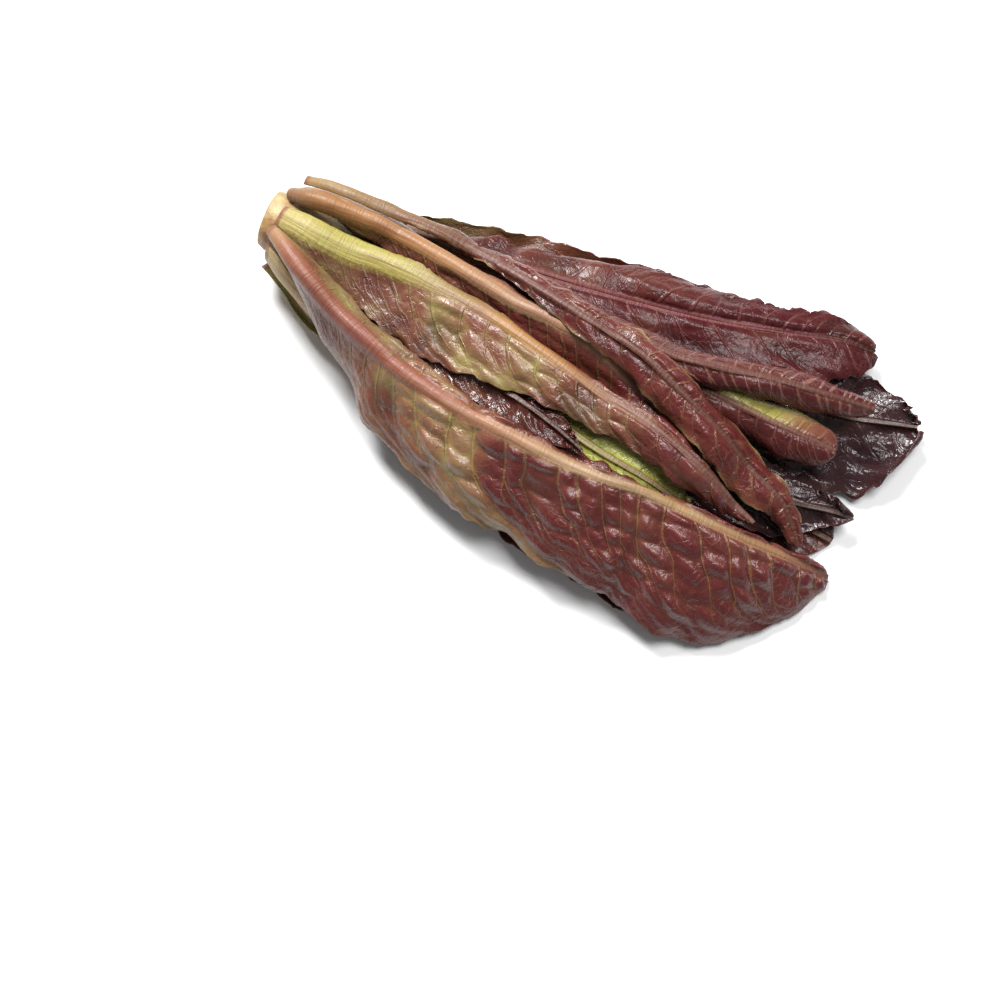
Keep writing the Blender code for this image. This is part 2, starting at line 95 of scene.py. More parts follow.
# Camera
VIEW_AZIMUTH = math.radians(24)
VIEW_ELEVATION = math.radians(78)
VIEW_DISTANCE = 1.01
VIEW_TARGET = (-3.85, -53.9, 0.0)     # in the head's own frame
VIEW_PIXEL = 0.00042    # metres shown by a pixel at the target
SENSOR = 36.0

# Colours
GREEN = (166, 160, 74)
OLIVE = (160, 128, 88)
BROWN = (138, 84, 62)
MAROON = (108, 40, 38)
ROSE = (94, 36, 36)
PURPLE = (80, 48, 52)
VEIN_GREEN = (182, 176, 96)
VEIN_OCHRE = (150, 108, 70)
VEIN_ROSE = (152, 90, 82)
VEIN_DARK = (96, 70, 68)
# painted shade, laid on the low places of the blade's relief
HOLLOW_SHADE = (46, 20, 18)
INNER_SHADE = (20, 8, 8)
RUSTY_CUT = (150, 96, 58)
LIT_SHARE = 0.6         # how dark a colour is painted, so that the lamps bring it back up


@dataclass
class Leaf:
    """The form of a leaf, as its solid has it.

    path holds points of the rib, from root to tip. left and right are the half widths measured
    along the blade, at WIDTH_KNOTS. A bend holds, at BEND_KNOTS, the blade's slope in degrees
    beside the rib and at the margin: positive rises, negative droops. rib_width is the rib's half
    width, rib_root what it gains at the root, and lobes the share by which the width swings.
    settle is how far the leaf may sink onto what lies below it, and root_roll the angle in degrees
    by which its root leans to the right.
    """
    name: str
    path: tuple
    left: tuple
    right: tuple
    left_bend: tuple
    right_bend: tuple
    rib_below: bool = False
    grounded: bool = False
    rib_width: float = 5.5
    rib_root: float = 3.0
    rib_height: float = 3.2
    wave: float = 2.0
    waves: float = 5.0
    lobes: float = 0.04
    tip_start: float = 0.84
    seed: int = 0
    settle: float = 3.0
    root_roll: float = 0.0


@dataclass
class Look:
    """The finish of a leaf.

    left and right are pairs of place and redness for the two halves of the blade: the place runs
    from 0 at the root to 1 at the tip, and the redness from 0, green, to 1. rib holds pairs of
    place and colour along the rib. vein_gap is the distance between side veins. pucker, crinkle,
    fold, pleat, torn and frill are the heights in millimetres of the plates between the veins, the
    small bumps, the two kinds of folds, the margin's teeth and its waves. green_edge, mottle,
    veined and netted say how strongly the colour turns green at the margin, varies, and follows
    the veins and the plates. The relief starts at the place petiole.
    """
    slot: str
    left: tuple
    right: tuple
    rib: tuple
    red: tuple = MAROON
    vein: tuple = VEIN_OCHRE
    rows: int = 190
    columns: int = 24
    vein_gap: float = 13.0
    pucker: float = 0.6
    crinkle: float = 0.5
    fold: float = 0.4
    pleat: float = 0.9
    torn: float = 0.6
    frill: float = 0.8
    green_edge: float = 0.0
    petiole: float = 0.2
    mottle: float = 0.25
    veined: float = 0.5
    netted: float = 0.25
    green: tuple = GREEN
    roughness: float = 0.29
    gloss: float = 0.45


FLAT_CUP = ((8, 20), (5, 24), (4, 18))
LOW_SIDE = ((4, 10), (2, 8), (2, 6))
HIGH_SIDE = ((36, 70), (10, 36), (6, 26))
HEART_CUP = ((10, 24), (8, 24), (6, 18))
FLAT = ((-4, -10), (-3, -8), (-3, -8))
HANGING = ((-60, -84), (-22, -78), (-14, -54))
LEANING = ((64, 78), (-3, -10), (-2, -6))
ROLLED = ((-24, -50), (-18, -92), (-14, -86))
FOLDED = ((-18, -44), (-10, -66), (-8, -62))

UNDER_LEAVES = (
    Leaf("leaf_under_middle",
         ((-136, 13, 8), (-108, 9, 5), (-50, 0, 3), (20, -6, 2.5), (85, -10, 2.5), (130, -14, 4)),
         (8, 14, 24, 32, 30, 16), (8, 14, 24, 32, 30, 16), FLAT_CUP, FLAT_CUP,
         rib_below=True, rib_height=3.0, grounded=True, wave=3.0, waves=6.0, seed=1),
    Leaf("leaf_under_front",
         ((-134, 0, 11), (-106, -12, 7), (-50, -33, 4), (10, -49, 3), (65, -58, 3), (113, -62, 5)),
         (3.5, 9, 20, 26, 24, 12), (8, 12, 18, 22, 20, 12), LOW_SIDE, HIGH_SIDE,
         rib_below=True, rib_height=3.0, grounded=True, wave=3.2, waves=6.0, seed=2),
    Leaf("leaf_under_back",
         ((-134, 26, 11), (-104, 30, 7), (-50, 37, 4), (10, 44, 3), (65, 50, 3), (108, 54, 5)),
         (8, 12, 18, 20, 18, 12), (3.5, 9, 20, 26, 24, 12), HIGH_SIDE, LOW_SIDE,
         rib_below=True, rib_height=3.0, grounded=True, wave=3.2, waves=6.0, seed=3),
    Leaf("leaf_inner_front",
         ((-97, 1, 12), (-80, -10, 9), (-45, -24, 7), (15, -34, 6), (66, -40, 6), (102, -44, 8)),
         (5, 9, 18, 23, 22, 10), (5, 9, 18, 22, 20, 10), LOW_SIDE, LOW_SIDE,
         rib_below=True, rib_height=2.6, rib_width=4.5, wave=1.2, seed=4),
    Leaf("leaf_inner_back",
         ((-96, 22, 12), (-80, 25, 9), (-45, 29, 7), (15, 34, 6), (60, 38, 6), (94, 42, 8)),
         (5, 9, 17, 20, 18, 10), (5, 9, 18, 23, 22, 10), LOW_SIDE, LOW_SIDE,
         rib_below=True, rib_height=2.6, rib_width=4.5, wave=1.2, seed=5),
    Leaf("leaf_dark_broad",
         ((-92, 15, 15), (-74, 15, 11), (-40, 15, 8), (30, 22, 7), (95, 32, 8), (144, 44, 12)),
         (5, 9, 17, 23, 24, 14), (5, 9, 18, 28, 36, 30), LOW_SIDE, LOW_SIDE, rib_below=True,
         rib_height=2.6, rib_width=4.0, wave=4.2, waves=7.0, tip_start=0.88, seed=6),
    Leaf("leaf_dark_pointed",
         ((-90, 9, 15), (-70, 4, 11), (-30, -4, 8), (35, -8, 7), (95, -9, 8), (134, -3, 12)),
         (5, 8, 14, 17, 13, 5), (5, 8, 15, 20, 18, 6), LOW_SIDE, LOW_SIDE,
         rib_below=True, rib_height=2.6, rib_width=4.0, wave=2.6, waves=6.0, seed=7),
)

HEART_LEAVES = (
    Leaf("leaf_heart_back",
         ((-84, 16, 20), (-55, 17, 20), (5, 18, 19), (66, 14, 15)),
         (4, 8, 13, 15, 12, 5), (4, 8, 13, 15, 12, 5), LOW_SIDE, HEART_CUP,
         rib_below=True, rib_height=2.2, rib_width=3.5, wave=1.2, seed=10),
    Leaf("leaf_heart_top",
         ((-82, 10, 24), (-50, 8, 25), (6, 2, 24), (74, -8, 19)),
         (4, 8, 12, 14, 11, 5), (4, 8, 12, 14, 11, 5), FLAT, FLAT,
         rib_height=2.2, rib_width=3.5, wave=1.2, seed=11),
    Leaf("leaf_heart_front",
         ((-84, 4, 20), (-55, -4, 24), (-10, -16, 33), (25, -25, 37), (50, -28, 36), (74, -31, 25)),
         (4, 8, 12, 12, 11, 5), (4, 8, 12, 11, 10, 5), LOW_SIDE, FLAT,
         rib_below=True, rib_height=2.2, rib_width=3.5, wave=1.2, seed=9),
)

OVER_LEAVES = (
    Leaf("leaf_side_back",
         ((-132, 31, 15), (-112, 33, 21), (-69, 32, 27), (-43, 34, 28), (0, 39, 28), (42, 46, 27),
          (75, 55, 24), (100, 63, 20), (115, 66, 14)),
         (7, 10, 12, 19, 11, 10), (4, 6, 10, 16, 22, 14), ((-60, -84), (24, -60), (20, -44)),
         ((64, 78), (14, -14), (12, -12)),
         rib_height=1.5, rib_width=4.0, wave=1.4, waves=4.0, tip_start=0.95, seed=12),
    Leaf("leaf_side_front",
         ((-133, -1, 15), (-112, -11, 21), (-50, -33, 23), (10, -48, 18), (68, -56, 13),
          (104, -60, 8)),
         (3, 6, 18, 22, 20, 12), (7, 10, 20, 24, 22, 12), LEANING, HANGING,
         rib_height=3.0, wave=3.0, waves=6.0, seed=13),
    Leaf("leaf_folded",
         ((-90, 17, 26), (-60, 18, 28), (-6, 20, 30), (35, 18, 33), (71, 16, 34), (94, 15.5, 32),
          (116, 16.5, 27)),
         (3, 4, 6, 10, 12, 12), (3, 4, 6, 10, 12, 12), FOLDED, FOLDED,
         rib_height=1.6, rib_width=3.5, rib_root=1.0, wave=1.0, tip_start=0.96, seed=14),
    Leaf("leaf_shaded",
         ((-104, 4, 30), (-75, -4, 36), (-45, -12, 39), (-15, -19, 40), (5, -24, 39),
          (22, -29, 37)),
         (5, 9, 13, 12, 8, 3), (5, 9, 13, 12, 9, 4), FLAT, FLAT,
         rib_below=True, rib_height=2.2, rib_width=3.5, wave=1.2, seed=16),
    Leaf("leaf_rolled",
         ((-130, 27, 24), (-110, 29, 27), (-92, 29, 28), (-70, 30, 30), (-39, 29, 34), (-8, 25, 37),
          (15, 22, 40), (37, 21, 42), (57, 24, 42), (77, 29.5, 40), (99, 34, 36), (124, 39.5, 26)),
         (2.5, 3.5, 7, 11, 11, 9), (2.5, 3.5, 7, 11, 11, 9),
         ((-60, -84), (-18, -92), (-14, -86)), ROLLED,
         rib_height=1.6, rib_width=3.5, rib_root=0.0, wave=1.0, tip_start=0.94, seed=15),
    Leaf("leaf_upper",
         ((-134, 23, 29), (-125, 23, 35), (-115, 24, 40), (-102, 25, 43), (-88, 25, 46),
          (-60, 21, 50), (-30, 16, 51), (-8, 14, 48), (11, 11, 45), (38, 2, 41), (66, -10, 35),
          (77, -18, 30)),
         (2, 5, 5, 5, 5, 4), (2, 6, 13, 20, 18, 9), ((-50, -80), (-12, -60), (-8, -44)),
         ((-10, -40), (-28, -48), (-16, -34)),
         rib_height=2.8, rib_width=5.5, rib_root=0.0, wave=1.6, settle=8.0, root_roll=25,
         seed=18),
    Leaf("leaf_narrow",
         ((-130, 31, 24), (-108, 31, 28), (-82, 31, 29), (-62, 31, 33), (-45, 29, 37),
          (-20, 23.5, 44), (0, 19.5, 47), (14, 17.5, 46), (30, 14, 44), (51, 7, 41), (70, 1, 37),
          (88, -6, 32), (105, -12, 26), (118, -24, 17)),
         (2, 2.5, 5.5, 8, 8, 5), (2, 2.5, 3, 10, 13, 7), ((-6, -20), (-8, -46), (-8, -40)),
         ((-6, -14), (-2, -12), (-2, -14)),
         rib_height=1.2, rib_width=2.8, rib_root=1.0, wave=1.8, waves=9.0, settle=6.0, seed=17),
    Leaf("leaf_middle",
         ((-133, 13.5, 31), (-122, 12, 35), (-108, 11, 38), (-87, 11.5, 42), (-59, 9.5, 45),
          (-45, 8, 46), (-28, 5, 47), (-10, 1, 47), (7, -2.5, 46), (19, -5, 45), (43, -9, 42),
          (68, -16, 38), (97, -25, 32)),
         (3, 6, 3.5, 3, 2.5, 2), (3, 17, 31, 16, 11, 6), ((-6, -20), (-8, -44), (-8, -44)),
         ((-6, -14), (-6, -18), (-6, -24)),
         rib_height=1.1, rib_width=4.0, rib_root=3.6, wave=1.4, settle=8.0, seed=19),
    Leaf("leaf_front",
         ((-134, 4, 29), (-126, -1, 34), (-117, -6.5, 38), (-103, -13, 42), (-87, -19.5, 45),
          (-72, -24.5, 46), (-57, -29, 47), (-28, -34.5, 48), (0, -37, 47), (30, -37, 46),
          (55, -34.5, 43), (80, -34, 38), (100, -33, 31), (117, -31, 22), (134, -28.6, 10)),
         (2, 10, 9, 3, 3.5, 5), (2.5, 13, 37, 44, 54, 26), ((-10, -30), (-14, -36), (-10, -34)),
         ((-50, -80), (-14, -56), (-4, -36)),
         rib_height=2.4, rib_width=4.6, rib_root=0.5, wave=2.6, waves=6.0, lobes=0.025,
         settle=8.0, root_roll=25, seed=20),
)

HIDDEN_TONES = ((0.0, 0.1), (0.3, 0.45), (0.6, 0.95), (1.0, 1.0))
DARK_TONES = ((0.0, 0.4), (0.5, 0.9), (1.0, 1.0))
HEART_TONES = ((0.0, 0.0), (0.7, 0.1), (1.0, 0.6))
BRIGHT_TONES = ((0.0, 0.0), (0.8, 0.0), (1.0, 0.3))
SIDE_TONES = ((0.0, 0.2), (0.4, 0.6), (0.7, 1.0), (1.0, 1.0))
ROLLED_TONES = ((0.0, 0.3), (0.2, 0.85), (1.0, 1.0))
OUTER_RIB = ((0.0, (206, 178, 112)), (0.2, (186, 128, 92)), (0.5, (182, 132, 96)),
             (0.8, (168, 128, 88)), (1.0, (128, 80, 66)))
INNER_RIB = ((0.0, (212, 206, 140)), (0.4, (196, 184, 112)), (0.8, (164, 130, 84)),
             (1.0, (110, 72, 60)))
DARK_RIB = ((0.0, (170, 150, 96)), (0.5, (120, 92, 74)), (1.0, (84, 60, 60)))

UNDER_LOOK = Look("maroon_leaf", HIDDEN_TONES, HIDDEN_TONES, OUTER_RIB, rows=170, columns=18)
INNER_LOOK = Look("olive_leaf", HIDDEN_TONES, HIDDEN_TONES, INNER_RIB, rows=120, columns=12)
HEART_LOOK = Look("heart_leaf", HEART_TONES, HEART_TONES, INNER_RIB, rows=120, columns=12,
                  vein_gap=8.0, pucker=0.7, crinkle=0.4)

LOOKS = {
    "leaf_under_middle": Look("maroon_leaf", HIDDEN_TONES, HIDDEN_TONES, OUTER_RIB,
                              rows=170, columns=20),
    "leaf_under_front": UNDER_LOOK,
    "leaf_under_back": UNDER_LOOK,
    "leaf_inner_front": INNER_LOOK,
    "leaf_inner_back": INNER_LOOK,
    "leaf_dark_broad": Look(
        "dark_leaf", DARK_TONES, DARK_TONES, DARK_RIB, red=PURPLE, vein=VEIN_DARK, rows=210,
        columns=30, vein_gap=17.0, pucker=0.7, crinkle=1.3, fold=3.2, pleat=1.8, frill=1.8,
        torn=1.2, roughness=0.2),
    "leaf_dark_pointed": Look(
        "dark_leaf", DARK_TONES, DARK_TONES, DARK_RIB, red=PURPLE, vein=VEIN_DARK, pucker=0.7,
        crinkle=1.1, fold=2.4, pleat=1.6, torn=1.2, roughness=0.2),
    "leaf_heart_front": Look(
        "heart_leaf", BRIGHT_TONES, BRIGHT_TONES, INNER_RIB, rows=150, columns=16, vein_gap=6.0,
        pucker=0.8, crinkle=0.4, mottle=0.12, green=(206, 206, 92)),
    "leaf_heart_back": HEART_LOOK,
    "leaf_heart_top": HEART_LOOK,
    "leaf_side_back": Look(
        "rose_leaf", ((0.0, 0.3), (0.25, 0.8), (1.0, 1.0)), ((0.0, 0.3), (0.2, 0.9), (1.0, 1.0)),
        ((0.0, (160, 120, 78)), (0.25, (126, 80, 66)), (0.4, (114, 42, 52)), (0.8, (116, 36, 56)),
         (1.0, (74, 34, 40))),
        red=(80, 24, 28), vein=VEIN_ROSE, rows=210, columns=26, vein_gap=12.0, torn=1.8,
        pucker=0.35, veined=0.25, fold=0.9, gloss=0.28),
    "leaf_side_front": Look("maroon_leaf", SIDE_TONES, SIDE_TONES, OUTER_RIB,
                            rows=170, columns=20),
    "leaf_folded": Look(
        "rose_leaf", ((0.0, 0.4), (0.3, 0.9), (0.5, 0.1), (0.85, 0.1), (1.0, 0.9)),
        ((0.0, 0.4), (0.3, 0.9), (1.0, 1.0)),
        ((0.0, (180, 150, 100)), (0.4, (116, 62, 52)), (1.0, (98, 44, 40))),
        red=(90, 36, 34), vein=VEIN_ROSE, vein_gap=7.0, pucker=0.4, crinkle=0.6, veined=0.4,
        gloss=0.35),
    "leaf_shaded": Look(
        "dark_leaf", ((0.0, 0.5), (0.4, 0.9), (1.0, 1.0)), ((0.0, 0.5), (0.4, 0.8), (1.0, 1.0)),
        ((0.0, (150, 120, 84)), (0.3, (100, 56, 46)), (1.0, (84, 44, 40))),
        red=(92, 38, 34), vein=(120, 74, 60), rows=160, columns=22, vein_gap=9.0, pucker=1.3,
        crinkle=1.1, roughness=0.2),
    "leaf_rolled": Look(
        "rose_leaf", ROLLED_TONES, ROLLED_TONES,
        ((0.0, (160, 116, 78)), (0.3, (126, 74, 60)), (0.6, (112, 58, 54)), (1.0, (96, 46, 46))),
        red=ROSE, vein=(176, 122, 106), rows=210, columns=26, vein_gap=6.0, pucker=0.35,
        gloss=0.35),
    "leaf_narrow": Look(
        "maroon_leaf", ((0.0, 0.3), (0.3, 0.8), (0.5, 0.9), (1.0, 1.0)),
        ((0.0, 0.4), (0.25, 0.9), (1.0, 1.0)),
        ((0.0, (170, 140, 90)), (0.3, (104, 50, 44)), (1.0, (92, 38, 36))),
        rows=210, columns=20, vein_gap=10.0, pucker=0.7, crinkle=0.8, green_edge=0.8, frill=1.4,
        veined=0.4),
    "leaf_upper": Look(
        "rose_leaf", ((0.0, 0.2), (0.15, 0.5), (0.4, 0.85), (1.0, 1.0)),
        ((0.0, 0.3), (0.3, 0.8), (0.5, 0.9), (1.0, 1.0)),
        ((0.0, (132, 88, 52)), (0.12, (178, 122, 66)), (0.3, (186, 132, 84)),
         (0.5, (190, 146, 112)), (0.68, (176, 126, 98)), (0.8, (150, 90, 80)),
         (1.0, (120, 66, 62))),
        rows=210, columns=26, vein_gap=10.0, pucker=1.0, crinkle=0.8),
    "leaf_middle": Look(
        "olive_leaf", ((0.0, 0.0), (0.25, 0.02), (0.4, 0.4), (0.7, 0.85), (1.0, 1.0)),
        ((0.0, 0.2), (0.1, 0.45), (0.2, 0.6), (0.3, 0.5), (0.5, 0.48), (0.7, 0.62), (0.85, 0.9),
         (1.0, 1.0)),
        ((0.0, (196, 178, 96)), (0.12, (190, 180, 84)), (0.25, (184, 172, 82)),
         (0.32, (166, 138, 84)), (0.4, (166, 124, 80)), (0.46, (196, 142, 76)),
         (0.58, (184, 130, 76)), (0.68, (140, 88, 62)), (0.8, (116, 62, 52)),
         (1.0, (104, 52, 46))),
        rows=240, columns=40, pucker=1.3, crinkle=0.8, pleat=0.4, veined=0.28,
        mottle=0.4, netted=0.7, roughness=0.34, gloss=0.6),
    "leaf_front": Look(
        "maroon_leaf", ((0.0, 0.3), (0.2, 0.45), (0.5, 0.7), (0.6, 1.0), (1.0, 1.0)),
        ((0.0, 0.4), (0.12, 0.6), (0.25, 0.56), (0.33, 0.4), (0.42, 0.38), (0.46, 0.95),
         (1.0, 1.0)),
        ((0.0, (180, 132, 84)), (0.06, (160, 92, 68)), (0.2, (148, 70, 58)), (0.36, (160, 88, 66)),
         (0.46, (190, 136, 98)), (0.58, (204, 168, 128)), (0.74, (182, 144, 94)),
         (0.9, (168, 120, 80)), (1.0, (134, 78, 66))),
        rows=300, columns=52, vein_gap=12.5, pucker=1.8, crinkle=0.6, fold=0.8, pleat=0.4,
        mottle=0.36, veined=0.6, netted=0.7, roughness=0.32, gloss=0.55),
}


def ease(share):
    """A share from 0 to 1, with a soft start and end."""
    share = np.clip(share, 0.0, 1.0)
    return share * share * (3 - 2 * share)


def along(knots, values, places):
    """Values read along a leaf, with the corners at the knots smoothed."""
    shifts = np.linspace(-KNOT_BLUR, KNOT_BLUR, 7)
    return np.mean([np.interp(places + shift, knots, values) for shift in shifts], axis=0)


def rib_line(path, places):
    """Points along a smooth curve through the path, at shares of its length, and that length."""
    points = np.array(path, float)
    first = 2 * points[0] - points[1]
    last = 2 * points[-1] - points[-2]
    points = np.vstack([first, points, last])
    t = np.linspace(0, 1, 60)[:, None]
    spans = []
    for a, b, c, d in zip(points, points[1:], points[2:], points[3:]):
        spans.append(0.5 * (2 * b + (c - a) * t + (2 * a - 5 * b + 4 * c - d) * t ** 2
                            + (3 * b - a - 3 * c + d) * t ** 3))
    dense = np.vstack(spans)
    run = np.concatenate([[0], np.cumsum(np.linalg.norm(np.diff(dense, axis=0), axis=1))])
    line = np.column_stack([np.interp(places * run[-1], run, dense[:, axis]) for axis in range(3)])
    return line, run[-1]


def ripple(places, count, draw):
    """A gentle irregular wave along the margin, between about -1 and 1."""
    phase = draw.uniform(0, 2 * math.pi, 3)
    turns = 2 * math.pi * count * places
    return (0.6 * np.sin(turns + phase[0]) + 0.3 * np.sin(1.7 * turns + phase[1])
            + 0.25 * np.sin(0.53 * turns + phase[2]))


def smooth_noise(x, y, size, draw):
    """Smooth random values between -1 and 1, with bumps of a size in millimetres."""
    x, y = (x - x.min()) / size, (y - y.min()) / size
    lattice = draw.uniform(-1, 1, (int(x.max()) + 2, int(y.max()) + 2))
    i, j = x.astype(int), y.astype(int)
    x, y = ease(x - i), ease(y - j)
    near = lattice[i, j] * (1 - y) + lattice[i, j + 1] * y
    far = lattice[i + 1, j] * (1 - y) + lattice[i + 1, j + 1] * y
    return near * (1 - x) + far * x


def cell_net(x, y, draw):
    """Irregular cells about 1 across, in rows between the whole numbers of x: how far each point
    is from its cell's border, and the cell's own random level."""
    x, y = x - math.floor(x.min()), y - y.min()
    i, j = x.astype(int), y.astype(int)
    shape = (i.max() + 3, j.max() + 3)
    centre_x = draw.uniform(0.36, 0.64, shape)
    centre_y = draw.uniform(0.1, 0.9, shape)
    levels = draw.uniform(0, 1, shape)
    nearest = np.full(x.shape, np.inf)
    second = np.full(x.shape, np.inf)
    level = np.zeros(x.shape)
    for step_x in (0, 1, 2):
        for step_y in (0, 1, 2):
            a, b = i + step_x, j + step_y
            away = np.hypot(x - (a - 1 + centre_x[a, b]), y - (b - 1 + centre_y[a, b]))
            closer = away < nearest
            second = np.where(closer, nearest, np.minimum(second, away))
            level = np.where(closer, levels[a, b], level)
            nearest = np.where(closer, away, nearest)
    return second - nearest, level


def half_width(values, tip_start, places):
    """Half width along the leaf, closed by a rounded tip."""
    end = np.clip((places - tip_start) / (1 - tip_start), 0, 1)
    return along(WIDTH_KNOTS, values, places) * np.maximum(np.sqrt(1 - end ** 2), 0.07)


def surface_normals(grid):
    """Unit normals at the grid's points."""
    ahead = np.gradient(grid, axis=0)
    aside = np.gradient(grid, axis=1)
    normals = np.cross(ahead, aside)
    return normals / np.maximum(np.linalg.norm(normals, axis=2, keepdims=True), 1e-9)


def rib_reach(leaf, places):
    """Half width of the rib, broader at its root."""
    extra = leaf.rib_root * np.exp(-(places / RIB_ROOT_END) ** 4)
    return leaf.rib_width * (1 - RIB_TAPER * places) + extra


def side_shares(leaf, look, places, widths):
    """Shares of the half width where a side's points lie, across the rib and out to the margin."""
    edge = np.minimum(rib_reach(leaf, places) / widths, 0.55)[:, None]
    across = np.arange(1, RIB_COLUMNS + 1)[None, :] / RIB_COLUMNS
    beyond = np.arange(1, look.columns + 1)[None, :] / look.columns
    return np.hstack([edge * across, edge + (1 - edge) * beyond])


def torn_margin(look, shares, run, widths, draw):
    """The shares, with the outermost points moved in and out into irregular teeth."""
    spot = np.zeros_like(run)
    teeth = smooth_noise(run, spot, TOOTH, draw) + 0.5 * smooth_noise(run, spot, 0.4 * TOOTH, draw)
    teeth = look.torn * (teeth - 0.3) * np.clip(4 * run / run[-1], 0, 1)
    return shares * (1 + (teeth / np.maximum(widths, 4.0))[:, None] * shares ** 8)


def leaf_side(leaf, places, shares, widths, bends, roll, draw):
    """Distance out from the rib, height over it and raw wave, for one side of a leaf. roll is the
    angle in degrees by which the side is raised at the root."""
    rolled = roll * np.clip(1 - places / ROLL_END, 0, 1)
    start, end = (np.radians(along(BEND_KNOTS, slopes, places) + rolled)[:, None]
                  for slopes in zip(*bends))
    turn = np.where(np.abs(end - start) < 0.01, 0.01, end - start)
    widths = (widths * (1 + leaf.lobes * ripple(places, 2.3 * leaf.waves, draw)))[:, None]
    slope = start + turn * shares
    out = widths * (np.sin(slope) - np.sin(start)) / turn
    rise = widths * (np.cos(start) - np.cos(slope)) / turn
    grown = np.clip(places * 4, 0, 1)[:, None]
    wave = leaf.wave * grown * shares ** 2 * ripple(places, leaf.waves, draw)[:, None]
    return out, rise, wave


def vein_roots(look, length, draw):
    """Places on the rib, in millimetres, where one side's veins leave it."""
    roots = [-VEINS_BEFORE]
    while roots[-1] < length + VEINS_BEYOND:
        denser = np.interp(roots[-1] / length, (0, 0.3, 0.8, 1), (0.5, 0.85, 1.0, 0.65))
        roots.append(roots[-1] + look.vein_gap * denser * draw.uniform(0.55, 1.45))
    return np.array(roots)


def vein_pattern(look, run, out, shares, widths, length, draw):
    """For one side: where each point's vein would leave the rib, its count between the veins, and
    the distance between the two veins beside it."""
    lean = VEIN_LEAN * out + VEIN_ARCH * widths[:, None] * shares ** 4
    root = run - lean + 3.6 * smooth_noise(run, out, 22, draw)
    root = root + 1.1 * smooth_noise(run, out, 7, draw)
    roots = vein_roots(look, length, draw)
    count = np.interp(root, roots, np.arange(len(roots)))
    gap = np.diff(roots)[np.clip(count.astype(int), 0, len(roots) - 2)]
    return root, count, gap * VEIN_SLANT


def relief(look, run, root, out, count, shares, clear, place, draw):
    """Height of one side's relief, and how near each point is to the border of its plate."""
    swell = draw.uniform(0.1, 1.2, 400)[count.astype(int) % 400]
    between = np.sin(math.pi * (count % 1.0)) ** 0.8 * swell
    border, level = cell_net(count, out / PLATE, draw)
    cells = np.clip(border, 0, 0.8) ** 0.6 * (0.35 + 1.0 * level)
    rolling = smooth_noise(run, out, ROLLING, draw)
    small = smooth_noise(run, out, CRINKLE, draw) * np.interp(place, (0.3, 0.5), (0.8, 0.25))
    folds = 1 - 2 * np.abs(smooth_noise(root + out, 0.5 * out - root, FOLD, draw))
    slow = PLEAT / PLEAT_RUN * root
    pleats = 1 - 2 * np.abs(smooth_noise(slow, out + 0.06 * root, PLEAT, draw))
    frill = smooth_noise(root, np.zeros_like(root), FRILL, draw) * shares ** 5
    grown = ease((place - look.petiole) / 0.2)
    calm = 1 - 0.85 * shares ** 3
    blade = look.pucker * (0.5 * between * (1 - shares ** 2) + 1.5 * cells * calm)
    blade = blade + look.crinkle * (1.3 * rolling + small)
    blade = blade + look.fold * folds + look.pleat * pleats * (1 - shares ** 6)
    blade = blade + look.frill * frill
    return (0.15 + 0.85 * grown) * clear * blade, 1 - ease(border / 0.14)


def softened(values):
    """Each value blended with its neighbours on the grid, so that creases have no stair steps."""
    for axis in (0, 1):
        count = values.shape[axis]
        before = np.take(values, np.maximum(np.arange(count) - 1, 0), axis)
        after = np.take(values, np.minimum(np.arange(count) + 1, count - 1), axis)
        values = 0.5 * values + 0.25 * (before + after)
    return values


def mirrored(right, left, middle):
    """A whole row of values: the right side from the margin in, the middle, and the left side."""
    return np.hstack([right[:, ::-1], middle, left])


